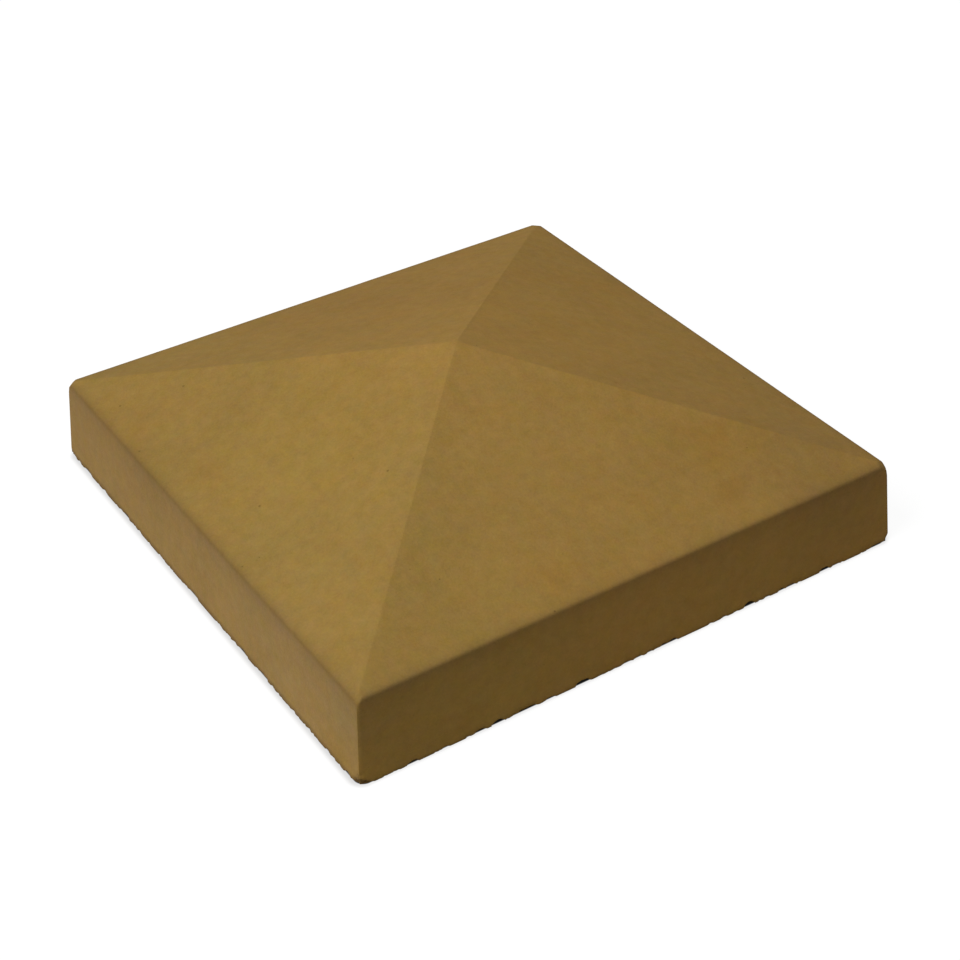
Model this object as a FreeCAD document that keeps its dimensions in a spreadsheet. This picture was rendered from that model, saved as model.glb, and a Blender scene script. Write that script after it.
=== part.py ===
import FreeCAD, Part
import os

# Pier cap: one block of cast concrete that sheds rain off the top of a brick pier.
# It is square on plan, with four equal slopes that meet at a point, sides that lean in
# so that the casting leaves its mould, rounded arrises and a flat bedding face.
# The origin is the middle of the bedding face, +Z is up, and the sides face X and Y.

doc = FreeCAD.newDocument("PierCap")

# Driving dimensions in millimetres
DRIVING_DIMENSIONS = [
    ("cap_side", "380", "side of the square bedding face"),
    ("edge_height", "57", "bedding face to the eaves, where a side would meet its slope"),
    ("slope_rise", "60", "eaves to the point where the four slopes would meet"),
    ("side_draft", "4.5", "how far a side leans in between bedding face and eaves"),
    ("arris_radius", "2.5", "rounding of the eaves, the upright corners and the hips"),
]
sheet = doc.addObject("Spreadsheet::Sheet", "Sizes")
for row, (alias, size, meaning) in enumerate(DRIVING_DIMENSIONS, start=1):
    sheet.set(f"A{row}", meaning)
    sheet.set(f"B{row}", size)
    sheet.setAlias(f"B{row}", alias)
doc.recompute()

body = doc.addObject("PartDesign::Body", "CapBody")
body.Label = "pier_cap"
body.AllowCompound = False
datum = {feature.Role: feature for feature in body.Origin.OriginFeatures}


def tapering_block(name, foot, head, half_foot, half_head):
    """Square block between the heights foot and head, half_foot and half_head wide each way."""
    block = body.newObject("PartDesign::AdditiveWedge", name)
    block.AttachmentSupport = [(datum["XZ_Plane"], "")]
    block.MapMode = "FlatFace"
    block.setExpression("Ymin", foot)
    block.setExpression("Ymax", head)
    for axis in ("X", "Z"):
        block.setExpression(f"{axis}min", f"-({half_foot})")
        block.setExpression(f"{axis}max", half_foot)
        block.setExpression(f"{axis}2min", f"-({half_head})")
        block.setExpression(f"{axis}2max", half_head)
    doc.recompute()
    return block


# Lower block with the four leaning sides, and the pyramid of four slopes on top of it
BED = "0 mm"
EAVES = "Sizes.edge_height"
POINT = "Sizes.edge_height + Sizes.slope_rise"
HALF_BED = "Sizes.cap_side / 2"
HALF_EAVES = "Sizes.cap_side / 2 - Sizes.side_draft"
HALF_POINT = "0 mm"
sides = tapering_block("Sides", BED, EAVES, HALF_BED, HALF_EAVES)
slopes = tapering_block("Slopes", EAVES, POINT, HALF_EAVES, HALF_POINT)

# Rounded arrises: every edge but those of the bedding face, which stay sharp
bedding_face = min(slopes.Shape.Faces, key=lambda face: face.CenterOfMass.z)
arrises = []
for number, edge in enumerate(slopes.Shape.Edges, start=1):
    if not any(edge.isSame(bed_edge) for bed_edge in bedding_face.Edges):
        arrises.append(f"Edge{number}")
rounded_arrises = body.newObject("PartDesign::Fillet", "RoundedArrises")
rounded_arrises.Base = (slopes, arrises)
rounded_arrises.setExpression("Radius", "Sizes.arris_radius")
body.Tip = rounded_arrises
body.Placement = FreeCAD.Placement()
doc.recompute()

# Tests before anything is written
for item in doc.Objects:
    if "Invalid" in item.State or "Error" in item.State:
        raise RuntimeError(f"{item.Name} could not be made")
if slopes.Shape.Volume <= max(sides.Shape.Volume, rounded_arrises.Shape.Volume):
    raise RuntimeError("the slopes were not added or the arrises were not rounded")
if body.Shape.isNull() or not body.Shape.isValid() or len(body.Shape.Solids) != 1:
    raise RuntimeError(f"{body.Label} is not one sound solid")

os.makedirs("parts", exist_ok=True)
body.Shape.exportStep(f"parts/{body.Label}.step")
CUBIC_MM_IN_LITRE = 1e6
print(body.Label, "volume in litres", round(body.Shape.Volume / CUBIC_MM_IN_LITRE, 3))
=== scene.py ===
import math
import random

import bpy
from mathutils import Matrix, Vector


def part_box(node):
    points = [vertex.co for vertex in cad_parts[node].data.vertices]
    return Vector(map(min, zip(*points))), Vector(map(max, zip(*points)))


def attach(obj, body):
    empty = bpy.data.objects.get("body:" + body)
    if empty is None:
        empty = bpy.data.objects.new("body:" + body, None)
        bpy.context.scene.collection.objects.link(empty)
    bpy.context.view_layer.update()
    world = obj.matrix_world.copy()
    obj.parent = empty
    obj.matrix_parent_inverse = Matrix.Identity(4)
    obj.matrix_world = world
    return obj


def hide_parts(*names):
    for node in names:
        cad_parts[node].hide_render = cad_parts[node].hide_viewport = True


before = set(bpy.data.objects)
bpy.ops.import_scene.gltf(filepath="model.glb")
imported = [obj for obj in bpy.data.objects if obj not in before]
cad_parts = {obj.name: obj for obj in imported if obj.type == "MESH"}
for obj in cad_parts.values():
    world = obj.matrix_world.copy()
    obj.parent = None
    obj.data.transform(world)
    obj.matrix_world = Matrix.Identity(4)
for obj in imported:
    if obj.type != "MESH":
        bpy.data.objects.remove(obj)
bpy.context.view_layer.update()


# The cap is one block of fine sandy buff concrete, cast upside down in a square mould and
# turned out by its leaning sides. Slopes and upper arrises are as smooth as the mould; the
# lower arris was struck off by hand along the rim, so it is ragged, with bits broken out.
low_corner, high_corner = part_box("pier_cap")
cap_side = high_corner[0] - low_corner[0]
edge_height = 0.057
slope_rise = 0.060
side_draft = 0.0045
arris_radius = 0.0025
worn_corner_radius = 0.0145   # at the corners of the eaves
worn_toe_radius = 0.0060      # at the foot of the two front corners
corner_crispness = 0.5        # how far the upright corners keep the mould's sharp angle
point_aside = -0.0025         # the point stands a little to the left of the middle
waviness = 0.0003             # hollows in the faces
ragged_depth = 0.0014         # loss along the lower arris, between the larger breaks
ragged_reach = 0.0050         # how far from the lower arris that loss is felt


class Measure:
    """A number that may differ from point to point, written with ordinary signs."""

    def __init__(self, tree, socket):
        self.tree = tree
        self.socket = socket

    def worked(self, operation, *others):
        sum_node = self.tree.nodes.new("ShaderNodeMath")
        sum_node.operation = operation
        for place, term in zip(sum_node.inputs, (self, *others)):
            feed(self.tree, term, place)
        return Measure(self.tree, sum_node.outputs[0])

    def __add__(self, other):
        return self.worked("ADD", other)

    def __sub__(self, other):
        return self.worked("SUBTRACT", other)

    def __mul__(self, other):
        return self.worked("MULTIPLY", other)

    def __truediv__(self, other):
        return self.worked("DIVIDE", other)

    def held(self, least, most):
        return self.worked("MAXIMUM", least).worked("MINIMUM", most)


def feed(tree, value, place):
    """Links a socket to another one, or gives it a plain value."""
    if isinstance(value, Measure):
        value = value.socket
    if isinstance(value, bpy.types.NodeSocket):
        tree.links.new(value, place)
    else:
        place.default_value = value


def step(tree, kind, feeds=None, **settings):
    """Adds one node with its settings, and feeds the inputs that are named or numbered."""
    made = tree.nodes.new(kind)
    for setting, value in settings.items():
        setattr(made, setting, value)
    for place, value in (feeds or {}).items():
        feed(tree, value, made.inputs[place])
    return made


def vector_sum(tree, operation, *terms):
    made = tree.nodes.new("ShaderNodeVectorMath")
    made.operation = operation
    for place, term in enumerate(terms):
        scaled = operation == "SCALE" and place == 1
        feed(tree, term, made.inputs["Scale" if scaled else place])
    return made.outputs["Value" if operation in ("LENGTH", "DISTANCE") else "Vector"]


def point_at(tree, across, along, above):
    return step(tree, "ShaderNodeCombineXYZ", {0: across, 1: along, 2: above}).outputs[0]


def parts_of(tree, vector):
    split = step(tree, "ShaderNodeSeparateXYZ", {0: vector})
    return [Measure(tree, socket) for socket in split.outputs]


cap_rule = bpy.data.node_groups.new("cast_cap_rule", "GeometryNodeTree")
cap_sizes = {
    "Cap Side": cap_side,
    "Edge Height": edge_height,
    "Slope Rise": slope_rise,
    "Side Draft": side_draft,
    "Arris Radius": arris_radius,
    "Worn Corner Radius": worn_corner_radius,
    "Worn Toe Radius": worn_toe_radius,
    "Corner Crispness": corner_crispness,
    "Point Aside": point_aside,
    "Waviness": waviness,
    "Ragged Depth": ragged_depth,
    "Ragged Reach": ragged_reach,
}
cap_rule.interface.new_socket("Chips", in_out="INPUT", socket_type="NodeSocketGeometry")
size_keys = {}
for size_name in cap_sizes:
    size_socket = cap_rule.interface.new_socket(
        size_name, in_out="INPUT", socket_type="NodeSocketFloat")
    size_keys[size_name] = size_socket.identifier
concrete_key = cap_rule.interface.new_socket(
    "Concrete", in_out="INPUT", socket_type="NodeSocketMaterial").identifier
cap_rule.interface.new_socket("Cap", in_out="OUTPUT", socket_type="NodeSocketGeometry")
given = cap_rule.nodes.new("NodeGroupInput")
(side, edge, rise, draft, radius, corner_radius, toe_radius,
 crispness, aside, wave_depth, crumb_depth, crumb_reach) = [
    Measure(cap_rule, given.outputs[size_name]) for size_name in cap_sizes
]
half_bed = side * 0.5
half_eaves = half_bed - draft


def kept_number(name):
    """A number that the rule stored on the points earlier."""
    return Measure(cap_rule, step(cap_rule, "GeometryNodeInputNamedAttribute", {
        "Name": name,
    }, data_type="FLOAT").outputs[0])


# Flat pattern of a quarter of the cap: across it from -1 to 1, and along it 0 at the middle of
# the bedding face, 1 at the lower arris, 2 at the eaves and 3 at the point. Each band lists its
# two ends, columns and rows. Where a finer band meets a coarser one, every second point on the
# seam is drawn onto the point beside it, and the two are welded.
bands = [
    (0.00, 0.80, 64, 6),
    (0.80, 0.93, 128, 4),
    (0.93, 0.975, 256, 4),
    (0.975, 1.00, 512, 6),
    (1.00, 1.16, 512, 11),
    (1.16, 1.86, 256, 13),
    (1.86, 2.00, 256, 9),
    (2.00, 2.035, 256, 8),
    (2.035, 2.90, 128, 36),
    (2.90, 3.00, 64, 5),
]
pattern = step(cap_rule, "GeometryNodeJoinGeometry")
for number, (first, last, columns, rows) in enumerate(bands):
    sheet = step(cap_rule, "GeometryNodeMeshGrid", {
        "Size X": 2.0, "Size Y": last - first, "Vertices X": columns + 1, "Vertices Y": rows + 1,
    })
    index = Measure(cap_rule, step(cap_rule, "GeometryNodeInputIndex").outputs[0])
    row = index.worked("MODULO", rows + 1.0)
    odd_column = (index / (rows + 1.0)).worked("FLOOR").worked("MODULO", 2.0)
    before = bands[number - 1][2] if number > 0 else columns
    after = bands[number + 1][2] if number + 1 < len(bands) else columns
    shift = 0.0
    for neighbour, seam_row in ((before, 0.0), (after, float(rows))):
        if neighbour < columns:
            on_seam = row.worked("COMPARE", seam_row, 0.5)
            shift = on_seam * odd_column * (-2.0 / columns) + shift
    moved = step(cap_rule, "GeometryNodeSetPosition", {
        "Geometry": sheet.outputs["Mesh"],
        "Offset": point_at(cap_rule, shift, (first + last) / 2, 0.0),
    })
    cap_rule.links.new(moved.outputs[0], pattern.inputs[0])
welded_pattern = step(cap_rule, "GeometryNodeMergeByDistance", {
    "Geometry": pattern.outputs[0], "Distance": 0.0004,
})

# The pattern is folded to sharp angles, with more columns drawn towards the corners
column_evenness = 0.3
across, along = parts_of(cap_rule, step(cap_rule, "GeometryNodeInputPosition").outputs[0])[:2]
bed_share = along.worked("MINIMUM", 1.0)
up_side = (along - 1.0).held(0.0, 1.0)
up_slope = (along - 2.0).held(0.0, 1.0)
towards_corners = (across * (math.pi / 2)).worked("SINE")
drawn_in = across * column_evenness + towards_corners * (1.0 - column_evenness)
half_here = half_bed - draft * up_side - half_eaves * up_slope
height_here = edge * up_side + rise * up_slope
sharp_place = point_at(cap_rule, drawn_in * half_here, half_here * -1.0, height_here)

# The arrises are rounded by standing the skin one radius off a smaller core
side_lean = draft / edge
slope_pitch = rise / half_eaves
core_inset = (side_lean * side_lean + 1.0).worked("SQRT") * radius
core_drop = (slope_pitch * slope_pitch + 1.0).worked("SQRT") * radius
core_point = edge + rise - core_drop
core_foot = half_bed - core_inset
core_half = (core_foot - side_lean * core_point) / (side_lean * slope_pitch * -1.0 + 1.0)
core_eaves = core_point - slope_pitch * core_half
core = step(cap_rule, "GeometryNodeJoinGeometry")
for top, bottom, depth, base in (
    (core_half, core_foot + side_lean * edge, core_eaves + edge, edge * -1.0),
    (0.0, core_half, core_point - core_eaves, core_eaves),
):
    shell = step(cap_rule, "GeometryNodeMeshCone", {
        "Vertices": 4, "Radius Top": top * math.sqrt(2), "Radius Bottom": bottom * math.sqrt(2),
        "Depth": depth,
    }, fill_type="NONE")
    turned = step(cap_rule, "GeometryNodeTransform", {
        "Geometry": shell.outputs["Mesh"],
        "Translation": point_at(cap_rule, 0.0, 0.0, base),
        "Rotation": (0.0, 0.0, math.radians(45)),
    })
    cap_rule.links.new(turned.outputs[0], core.inputs[0])
nearest = step(cap_rule, "GeometryNodeProximity", {
    "Geometry": core.outputs[0], "Sample Position": sharp_place,
}, target_element="FACES").outputs["Position"]
off_core = vector_sum(
    cap_rule, "NORMALIZE", vector_sum(cap_rule, "SUBTRACT", sharp_place, nearest))
rounded_place = vector_sum(
    cap_rule, "ADD", nearest, vector_sum(cap_rule, "SCALE", off_core, radius))

# The upright corners are crisper, from a little way below the eaves
crisp_from = 0.002
crisp_by = 0.009
crisp_share = step(cap_rule, "ShaderNodeMapRange", {
    "Value": height_here, "From Min": edge - crisp_by, "From Max": edge - crisp_from,
    "To Min": crispness, "To Max": 0.0,
}, interpolation_type="SMOOTHSTEP").outputs[0]
cast_place = step(cap_rule, "ShaderNodeMix", {
    0: crisp_share, 4: rounded_place, 5: sharp_place,
}, data_type="VECTOR").outputs[1]
cast_x, cast_y, cast_z = parts_of(cap_rule, cast_place)
above_bed = along.worked("GREATER_THAN", 1.0001)
kept_share = step(cap_rule, "GeometryNodeStoreNamedAttribute", {
    "Geometry": welded_pattern.outputs[0], "Name": "bed_share", "Value": bed_share,
}, data_type="FLOAT", domain="POINT")
quarter = step(cap_rule, "GeometryNodeSetPosition", {
    "Geometry": kept_share.outputs[0],
    "Position": point_at(cap_rule, cast_x * bed_share, cast_y * bed_share, cast_z * above_bed),
})

# Four quarters make the cap, and are welded where they meet
turns = step(cap_rule, "GeometryNodeMeshLine", {"Count": 4, "Offset": (0.0, 0.0, 0.0)})
turn_number = Measure(cap_rule, step(cap_rule, "GeometryNodeInputIndex").outputs[0])
four_quarters = step(cap_rule, "GeometryNodeInstanceOnPoints", {
    "Points": turns.outputs[0], "Instance": quarter.outputs[0],
    "Rotation": point_at(cap_rule, 0.0, 0.0, turn_number * (math.pi / 2)),
})
realized = step(cap_rule, "GeometryNodeRealizeInstances", {"Geometry": four_quarters.outputs[0]})
block = step(cap_rule, "GeometryNodeMergeByDistance", {
    "Geometry": realized.outputs[0], "Distance": 0.00001,
})

# Shallow hollows all over, and the crumbled lower arris
skin_place = step(cap_rule, "GeometryNodeInputPosition").outputs[0]
skin_normal = step(cap_rule, "GeometryNodeInputNormal").outputs[0]
place_x, place_y, skin_height = parts_of(cap_rule, skin_place)


def unevenness(scale, detail, roughness):
    """Chance pattern through the block, between nought and one."""
    return Measure(cap_rule, step(cap_rule, "ShaderNodeTexNoise", {
        "Vector": skin_place, "Scale": scale, "Detail": detail, "Roughness": roughness,
    }).outputs[0])


hollows = unevenness(16.0, 2.0, 0.45)
crumbs = unevenness(210.0, 1.5, 0.5)
rough_stretches = unevenness(42.0, 1.0, 0.5)
bed_inset = (kept_number("bed_share") * -1.0 + 1.0) * half_bed
from_arris = (skin_height * skin_height + bed_inset * bed_inset).worked("SQRT")
arris_nearness = (from_arris / crumb_reach * -1.0 + 1.0).held(0.0, 1.0)
loose_above = 1.22            # crumbs are lost where the two patterns together pass this
crumb_loss = ((crumbs * 0.8 + rough_stretches * 1.7 - loose_above) * 3.0).held(0.0, 1.0)
depth_lost = wave_depth * hollows + crumb_depth * crumb_loss * arris_nearness * arris_nearness

# The point stands aside. Each corner of the eaves is worn round about a level line, set in and
# down from it, and the two front toes about an upright one. At the foremost corner the eaves
# are less worn than at the others, and the toe more.
foremost_eaves_share = 0.7
foremost_toe_share = 1.5
wear_inset = 0.915            # in radii, as are the next two
wear_drop = 0.8165
wear_swell = 1.02
up_to_point = ((skin_height - edge) / rise).held(0.0, 1.0)
off_x = place_x.worked("ABSOLUTE")
off_y = place_y.worked("ABSOLUTE")
foremost = place_x.worked("LESS_THAN", 0.0) * place_y.worked("LESS_THAN", 0.0)
corner_here = corner_radius * (foremost * (foremost_eaves_share - 1.0) + 1.0)
corner_out = (off_x + off_y - half_eaves * 2.0) * math.sqrt(0.5) + corner_here * wear_inset
corner_up = skin_height - edge + corner_here * wear_drop
at_corner = corner_out.worked("GREATER_THAN", 0.0) * corner_up.worked("GREATER_THAN", 0.0)
corner_far = (corner_out * corner_out + corner_up * corner_up).worked("SQRT")
corner_worn = ((corner_here * wear_swell / corner_far).worked("MINIMUM", 1.0) - 1.0) * at_corner
ragged_toe = crumbs * 0.8 + 0.6
toe_here = toe_radius * (foremost * (foremost_toe_share - 1.0) + 1.0) * ragged_toe
toe_x = (off_x - half_bed + toe_here).worked("MAXIMUM", 0.0)
toe_y = (place_y * -1.0 - half_bed + toe_here).worked("MAXIMUM", 0.0)
toe_far = (toe_x * toe_x + toe_y * toe_y).worked("SQRT").worked("MAXIMUM", 0.0001)
toe_share = (skin_height / toe_here * -1.0 + 1.0).held(0.0, 1.0)
toe_worn = ((toe_here / toe_far).worked("MINIMUM", 1.0) - 1.0) * toe_share
outward = corner_out * corner_worn * math.sqrt(0.5)
worn_off = point_at(
    cap_rule,
    place_x.worked("SIGN") * (outward + toe_x * toe_worn) + aside * up_to_point,
    place_y.worked("SIGN") * outward - toe_y * toe_worn,
    corner_up * corner_worn)
toe_shading = 7.0             # how strongly painted shade darkens the worn toes
# Kept for painted shade along the lower arris and at the worn toes, standing in for the crumbled
# foot's own shadow
foot_shade_kept = step(cap_rule, "GeometryNodeStoreNamedAttribute", {
    "Geometry": block.outputs[0], "Name": "broken_foot_shade",
    "Value": (arris_nearness - toe_worn * toe_shading).held(0.0, 1.0),
}, data_type="FLOAT", domain="POINT")
worn = step(cap_rule, "GeometryNodeSetPosition", {
    "Geometry": foot_shade_kept.outputs[0],
    "Offset": vector_sum(
        cap_rule, "ADD", worn_off, vector_sum(cap_rule, "SCALE", skin_normal, depth_lost * -1.0)),
})

# Bits broken out of the lower arris: each chip is a rough hollow round its own centre
chip_flatness = 1.15
chip_shading = 6.0            # how strongly painted shade darkens a break
chip_number = step(cap_rule, "GeometryNodeSampleNearest", {
    "Geometry": given.outputs["Chips"],
}, domain="POINT").outputs[0]
chip_centre = step(cap_rule, "GeometryNodeSampleIndex", {
    "Geometry": given.outputs["Chips"], "Index": chip_number,
    "Value": step(cap_rule, "GeometryNodeInputPosition").outputs[0],
}, data_type="FLOAT_VECTOR", domain="POINT").outputs[0]
chip_reach = Measure(cap_rule, step(cap_rule, "GeometryNodeSampleIndex", {
    "Geometry": given.outputs["Chips"], "Index": chip_number, "Value": kept_number("chip_reach"),
}, data_type="FLOAT", domain="POINT").outputs[0])
from_chip = vector_sum(cap_rule, "SUBTRACT", skin_place, chip_centre)
roughened = chip_reach * (crumbs * 0.7 + 0.65)
flattened = vector_sum(cap_rule, "MULTIPLY", from_chip, (1.0, 1.0, chip_flatness))
push = (roughened / Measure(cap_rule, vector_sum(cap_rule, "LENGTH", flattened))).held(1.0, 9.0)
# Each break adds to that painted shade, standing in for the shadow inside it
chip_shade_kept = step(cap_rule, "GeometryNodeStoreNamedAttribute", {
    "Geometry": worn.outputs[0], "Name": "broken_foot_shade",
    "Value": (kept_number("broken_foot_shade") + (push - 1.0) * chip_shading).held(0.0, 1.0),
}, data_type="FLOAT", domain="POINT")
chipped = step(cap_rule, "GeometryNodeSetPosition", {
    "Geometry": chip_shade_kept.outputs[0],
    "Position": vector_sum(
        cap_rule, "ADD", chip_centre, vector_sum(cap_rule, "SCALE", from_chip, push)),
})

# Smooth skin, with crisp edges only where concrete has broken
crisp_angle = math.radians(38)
all_smooth = step(cap_rule, "GeometryNodeSetShadeSmooth", {"Geometry": chipped.outputs[0]})
edge_angle = Measure(cap_rule, step(cap_rule, "GeometryNodeInputMeshEdgeAngle").outputs[0])
crisp_breaks = step(cap_rule, "GeometryNodeSetShadeSmooth", {
    "Geometry": all_smooth.outputs[0],
    "Selection": edge_angle.worked("GREATER_THAN", crisp_angle),
    "Shade Smooth": False,
}, domain="EDGE")
faced = step(cap_rule, "GeometryNodeSetMaterial", {
    "Geometry": crisp_breaks.outputs[0], "Material": given.outputs["Concrete"],
})
handed_over = cap_rule.nodes.new("NodeGroupOutput")
cap_rule.links.new(faced.outputs[0], handed_over.inputs[0])

# Where larger bits broke out: centre of each break, outside and below the arris, and its reach.
# First the one on the left side near the front corner, then those along the front side. Small
# chips follow on all four sides by chance, clear of those.
half = cap_side / 2
breaks = [(-half - 0.0018, -half + 0.0125, -0.0020, 0.0052)]
break_offset = 0.0015
for along_front, break_reach in (
    (-0.1562, 0.0044), (-0.1005, 0.0052), (-0.0650, 0.0042), (-0.0428, 0.0054),
    (0.0044, 0.0036), (0.0221, 0.0038), (0.0790, 0.0052), (0.1038, 0.0038), (0.1377, 0.0048),
):
    breaks.append((along_front, -half - break_offset, -break_offset, break_reach))
chip_centres = [tuple(found[:3]) for found in breaks]
chip_reaches = [found[3] for found in breaks]
chips_in_front = 6
chips_elsewhere = 14
chance = random.Random(11)
for turn in range(4):
    quarter_turn = Matrix.Rotation(math.radians(90 * turn), 3, "Z")
    for _ in range(chips_in_front if turn == 0 else chips_elsewhere):
        along_side = chance.uniform(-half, half)
        reach = chance.uniform(0.0018, 0.0036)
        offset = reach * chance.uniform(0.5, 0.85) * 0.7
        centre = quarter_turn @ Vector((along_side, -half - offset, -offset))
        if all((centre - Vector(found[:3])).length > found[3] + reach for found in breaks):
            chip_centres.append(tuple(centre))
            chip_reaches.append(reach)
chip_points = bpy.data.meshes.new("chip_centres")
chip_points.from_pydata(chip_centres, [], [])
chip_points.attributes.new("chip_reach", "FLOAT", "POINT").data.foreach_set("value", chip_reaches)

# Buff concrete: fine sand and cement, matt, faintly mottled, with a few air holes. It is darker
# along the eaves, and darker and lilac in a band below them, partly painted shade. Painted shade
# darkens the crumbled foot, its breaks and the worn toes. Painted light tints each quarter by the
# way it faces the lamp, bluer on the left side and a little redder away from it. It has a few damp
# stains.
concrete = bpy.data.materials.new("buff_concrete_cast")
concrete.use_nodes = True
mix = concrete.node_tree
skin = mix.nodes["Principled BSDF"]
surface = step(mix, "ShaderNodeTexCoord").outputs["Object"]
skin_x, skin_y, skin_z = parts_of(mix, surface)


def blotches(scale, detail, roughness, seed):
    """Cloudy pattern that goes evenly above and below nought."""
    noise = step(mix, "ShaderNodeTexNoise", {
        "Vector": surface, "W": seed, "Scale": scale, "Detail": detail, "Roughness": roughness,
    }, noise_dimensions="4D")
    return Measure(mix, noise.outputs[0]) - 0.5


def stained(amount, under, tint):
    """The colour under, multiplied by the tint as far as the amount goes."""
    layer = step(mix, "ShaderNodeMix", {
        0: amount, 6: under, 7: tint,
    }, data_type="RGBA", blend_type="MULTIPLY")
    return layer.outputs[2]


def quarter_facing(outward_here, sideways):
    """One on the quarter of the cap that faces that way, and nought on the rest."""
    return ((outward_here - sideways.worked("ABSOLUTE")) / 0.001).held(0.0, 1.0)


grain = blotches(700.0, 2.0, 0.7, 1.0)
sand = blotches(620.0, 2.0, 0.7, 6.0)
mottle = blotches(150.0, 3.0, 0.6, 2.0)
cloud = blotches(24.0, 3.0, 0.6, 3.0)
redness = blotches(38.0, 4.0, 0.65, 4.0)
rust = blotches(190.0, 2.0, 0.6, 7.0)
greyness = blotches(95.0, 3.0, 0.6, 5.0)
shade = grain * 0.36 + mottle * 0.34 + cloud * 0.26 + 1.0
warmth = redness * 0.09 + rust * 0.11
tone = point_at(
    mix, shade + warmth, shade - warmth,
    shade - redness * 0.16 + greyness * 0.70 + sand * 0.55)
buff = (0.304, 0.187, 0.0445, 1)
colour = stained(1.0, buff, tone)

out_from_middle = skin_x.worked("ABSOLUTE").worked("MAXIMUM", skin_y.worked("ABSOLUTE"))
in_from_eaves = (out_from_middle * -1.0 + (half - side_draft)).worked("MAXIMUM", 0.0)
down_from_eaves = (skin_z * -1.0 + edge_height).worked("MAXIMUM", 0.0)
# Below the eaves the sides turn darker and lilac: partly their own colour, partly painted shade,
# darker near the top where less light comes up from the floor
band_tint_and_shade = ((in_from_eaves / 0.003 + down_from_eaves / 0.014) * -1.0).worked("EXPONENT")
colour = stained(band_tint_and_shade, colour, (0.78, 0.77, 0.84, 1))
eaves_line = ((in_from_eaves / 0.0010 + down_from_eaves / 0.0024) * -1.0).worked("EXPONENT")
colour = stained(eaves_line, colour, (0.77, 0.755, 0.83, 1))

left_quarter = quarter_facing(skin_x * -1.0, skin_y)
front_quarter = quarter_facing(skin_y * -1.0, skin_x)
back_quarter = quarter_facing(skin_y, skin_x)
right_quarter = quarter_facing(skin_x, skin_y)
broken_foot_shade = Measure(mix, step(mix, "ShaderNodeAttribute", attribute_name="broken_foot_shade").outputs["Fac"])
# Painted shade along the crumbled foot, its breaks and the worn toes, reaching further on the left
# side
shaded_foot = broken_foot_shade.worked("POWER", left_quarter * -2.7 + 4.0)
colour = stained(shaded_foot, colour, (0.42, 0.40, 0.43, 1))
on_side = ((down_from_eaves - 0.001) / 0.004).held(0.0, 1.0)
# Painted light: each quarter is tinted by the way it faces the lamp, bluer on the left side for
# cool light and sheen there, with small shifts of brightness on the others and warmth away from the
# left
colour = stained(left_quarter * on_side, colour, (1.04, 1.06, 1.42, 1))
colour = stained(front_quarter * on_side, colour, (0.98, 0.955, 0.92, 1))
colour = stained(back_quarter, colour, (0.978, 0.974, 0.98, 1))
colour = stained(right_quarter, colour, (1.014, 1.006, 1.0, 1))
away_from_left = ((skin_x + 0.11 + cloud * 0.1) / 0.08).held(0.0, 1.0)
colour = stained(away_from_left, colour, (1.045, 1.0, 0.97, 1))

# Damp stains and paler patches: place, radius and tint, first on the slopes and then on the sides
stains = [
    ((-0.025, -0.050, 0.100), 0.075, (1.045, 1.055, 1.11, 1)),
    ((-0.159, 0.031, 0.066), 0.010, (0.92, 0.88, 0.84, 1)),
    ((-0.168, 0.060, 0.063), 0.035, (0.95, 0.97, 0.99, 1)),
    ((-0.166, -0.062, 0.064), 0.030, (0.94, 0.97, 1.01, 1)),
    ((-0.170, 0.110, 0.062), 0.055, (0.95, 0.93, 0.92, 1)),
    ((-0.097, -0.006, 0.086), 0.050, (1.02, 1.03, 0.94, 1)),
    ((0.095, -0.126, 0.076), 0.020, (0.97, 0.93, 0.80, 1)),
    ((0.120, -0.133, 0.074), 0.014, (0.98, 0.95, 0.84, 1)),
    ((0.084, -0.161, 0.065), 0.009, (0.93, 0.88, 0.78, 1)),
    ((-0.045, -0.166, 0.063), 0.010, (1.00, 0.97, 0.88, 1)),
    ((-0.068, -0.083, 0.090), 0.036, (0.96, 0.97, 0.97, 1)),
    ((0.140, -0.150, 0.068), 0.050, (0.94, 0.94, 1.02, 1)),
    ((0.071, 0.006, 0.094), 0.013, (1.04, 1.01, 0.95, 1)),
    ((0.160, 0.072, 0.065), 0.015, (1.05, 1.00, 0.90, 1)),
    ((0.065, 0.020, 0.095), 0.070, (1.060, 1.045, 1.00, 1)),
    ((0.020, 0.135, 0.073), 0.080, (0.950, 0.930, 0.945, 1)),
    ((-0.187, -0.105, 0.034), 0.035, (1.03, 1.05, 1.13, 1)),
    ((-0.188, -0.172, 0.038), 0.025, (0.97, 1.00, 1.14, 1)),
    ((-0.188, 0.170, 0.030), 0.035, (0.95, 0.95, 0.98, 1)),
    ((-0.190, -0.168, 0.007), 0.020, (0.99, 0.96, 0.80, 1)),
    ((0.160, -0.188, 0.034), 0.040, (0.92, 0.92, 0.95, 1)),
    ((-0.165, -0.188, 0.030), 0.030, (0.96, 0.96, 0.95, 1)),
    ((-0.100, -0.190, 0.016), 0.040, (1.00, 1.02, 0.96, 1)),
]
wander = point_at(mix, mottle * 0.4, greyness * 0.4, 0.0)
for middle, stain_radius, tint in stains:
    uneven = vector_sum(mix, "ADD", surface, vector_sum(mix, "SCALE", wander, stain_radius))
    off_middle = Measure(mix, vector_sum(mix, "DISTANCE", uneven, middle)) / stain_radius
    colour = stained((off_middle * off_middle * -1.0).worked("EXPONENT"), colour, tint)

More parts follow.
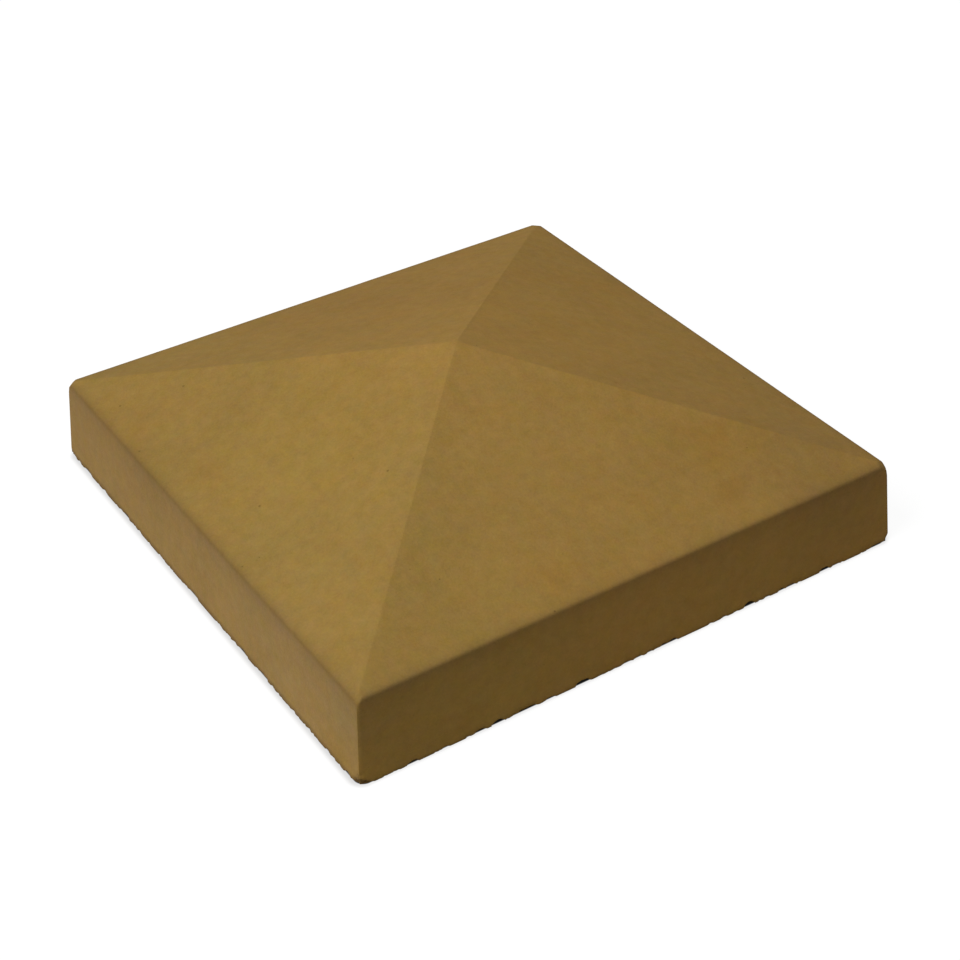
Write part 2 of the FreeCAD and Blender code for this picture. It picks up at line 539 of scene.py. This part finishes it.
# Air holes: about one cell of the pattern in five has one, and their sizes differ
holes = step(mix, "ShaderNodeTexVoronoi", {"Vector": surface, "Scale": 105.0})
hole_luck, hole_size = parts_of(mix, holes.outputs["Color"])[:2]
hole_near = (Measure(mix, holes.outputs["Distance"]) / (hole_size * 0.08 + 0.04)) * -1.0 + 1.0
hole_here = hole_luck.worked("GREATER_THAN", 0.78) * hole_near.held(0.0, 1.0)
colour = stained(hole_here, colour, (0.48, 0.45, 0.42, 1))
feed(mix, colour, skin.inputs["Base Color"])
feed(mix, grain * 0.12 + 0.90, skin.inputs["Roughness"])
skin.inputs["Specular IOR Level"].default_value = 0.2
relief = step(mix, "ShaderNodeBump", {
    "Strength": 0.35, "Distance": 0.0004, "Height": grain + mottle,
})
feed(mix, relief.outputs[0], skin.inputs["Normal"])

cap = bpy.data.objects.new("pier_cap_casting", chip_points)
bpy.context.scene.collection.objects.link(cap)
casting = cap.modifiers.new("casting", "NODES")
casting.node_group = cap_rule
for size_name, key in size_keys.items():
    casting[key] = cap_sizes[size_name]
casting[concrete_key] = concrete
seen = bpy.context.evaluated_depsgraph_get()
cast_mesh = bpy.data.meshes.new_from_object(
    cap.evaluated_get(seen), preserve_all_data_layers=True, depsgraph=seen)
cap.modifiers.remove(casting)
cap.data = cast_mesh
cast_mesh.name = "pier_cap_casting"
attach(cap, "root")
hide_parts("pier_cap")


# The floor is a plain white sheet that the cap stands on; it keeps the cap's soft shadow, has a
# narrow contact shadow painted into its glow along the cap's foot, and painted shade where the cap
# covers it.
floor_mesh = bpy.data.meshes.new("floor_sheet")
floor_half = 4.0
floor_mesh.from_pydata([
    (-floor_half, -floor_half, 0), (floor_half, -floor_half, 0),
    (floor_half, floor_half, 0), (-floor_half, floor_half, 0),
], [], [(0, 1, 2, 3)])
floor = bpy.data.objects.new("floor_sheet", floor_mesh)
bpy.context.scene.collection.objects.link(floor)


def seen_directly(tree):
    """One for what is seen as it is, also in a gloss or through glass, and nought for its light."""
    ray = step(tree, "ShaderNodeLightPath").outputs
    return Measure(tree, ray["Is Camera Ray"]).worked(
        "MAXIMUM", ray["Is Glossy Ray"]).worked("MAXIMUM", ray["Is Transmission Ray"])


floor_paint = bpy.data.materials.new("white_floor")
floor_paint.use_nodes = True
paper = floor_paint.node_tree
paper.nodes.clear()
corner_round = 0.007
inner_half = cap_side / 2 - corner_round
covered_inset = 0.0011        # the painted shade under the cap ends this far inside its foot
shadow_width = 0.0013         # width of the painted contact shadow; twice as wide beside the left and right sides
floor_x, floor_y = parts_of(paper, step(paper, "ShaderNodeTexCoord").outputs["Object"])[:2]
out_x = (floor_x.worked("ABSOLUTE") - inner_half).worked("MAXIMUM", 0.0)
out_y = (floor_y.worked("ABSOLUTE") - inner_half).worked("MAXIMUM", 0.0)
out_of_cap = (out_x * out_x + out_y * out_y).worked("SQRT") - corner_round
beside = out_x / (out_x + out_y + 0.0001)
# Painted contact shadow: the glow is dimmed close outside the foot of the cap
shadow_step = out_of_cap.worked("MAXIMUM", 0.0) / (beside * shadow_width + shadow_width)
painted_contact_shadow = (shadow_step * shadow_step * -1.0).worked("EXPONENT")
# Painted shade under the cap: inside its foot the glow stops and the floor is darker
clear_of_cap = ((out_of_cap + covered_inset) / 0.0005).held(0.0, 1.0)
glow_with_painted_shadow = clear_of_cap * (painted_contact_shadow * (beside * -0.16 - 0.145) + 0.93)
matt = step(paper, "ShaderNodeBsdfDiffuse", {"Color": (0.39, 0.345, 0.27, 1)})
lit = step(paper, "ShaderNodeBsdfDiffuse", {"Color": clear_of_cap * 0.04 + 0.09})
glow = step(paper, "ShaderNodeEmission", {"Color": (1, 1, 1, 1), "Strength": glow_with_painted_shadow})
white = step(paper, "ShaderNodeAddShader", {0: lit.outputs[0], 1: glow.outputs[0]})
floor_finish = step(paper, "ShaderNodeMixShader", {
    0: seen_directly(paper), 1: matt.outputs[0], 2: white.outputs[0],
})
step(paper, "ShaderNodeOutputMaterial", {"Surface": floor_finish.outputs[0]})
floor_mesh.materials.append(floor_paint)


# Studio light: one large soft lamp, high on the left, and an even pale room all round, which is
# white where it is seen directly.
lamp_data = bpy.data.lights.new("left_softbox", "AREA")
lamp_data.shape = "SQUARE"
lamp_data.size = 1.8
lamp_data.energy = 78.0
lamp = bpy.data.objects.new("left_softbox", lamp_data)
lamp.location = (-2.1, -0.15, 2.5)
lamp.rotation_mode = "QUATERNION"
lamp.rotation_quaternion = lamp.location.to_track_quat("Z", "Y")
bpy.context.scene.collection.objects.link(lamp)
room = bpy.data.worlds.new("pale_room")
bpy.context.scene.world = room
room.use_nodes = True
air = room.node_tree
air.nodes.clear()
room_level = 0.31
brightness = seen_directly(air) * (1.0 - room_level) + room_level
sky = step(air, "ShaderNodeBackground", {"Color": (1, 1, 1, 1), "Strength": brightness})
step(air, "ShaderNodeOutputWorld", {"Surface": sky.outputs[0]})
bpy.context.scene.view_settings.view_transform = "Standard"


# The camera looks down on the front corner from above, as in the photograph. Its place, in sides
# of the cap, and its lens, in pixels, were found from the cap's edges there.
view_turn = math.radians(-32.51)
view_pitch = math.radians(35.99)
view_roll = math.radians(-1.34)
eye_back = 3.291
eye_right = 0.0263
eye_up = 0.0249
focal_pixels = 1945
picture_pixels = 960
back = Vector((
    math.sin(view_turn) * math.cos(view_pitch),
    -math.cos(view_turn) * math.cos(view_pitch),
    math.sin(view_pitch),
))
level_right = Vector((math.cos(view_turn), math.sin(view_turn), 0))
level_up = back.cross(level_right)
right = level_right * math.cos(view_roll) + level_up * math.sin(view_roll)
upward = level_up * math.cos(view_roll) - level_right * math.sin(view_roll)
eye = (back * eye_back + right * eye_right + upward * eye_up) * cap_side
camera_data = bpy.data.cameras.new("camera")
camera_data.sensor_width = 36.0
camera_data.lens = camera_data.sensor_width * focal_pixels / picture_pixels
camera = bpy.data.objects.new("camera", camera_data)
camera.matrix_world = Matrix.Translation(eye) @ Matrix((right, upward, back)).transposed().to_4x4()
bpy.context.scene.collection.objects.link(camera)
bpy.context.scene.camera = camera
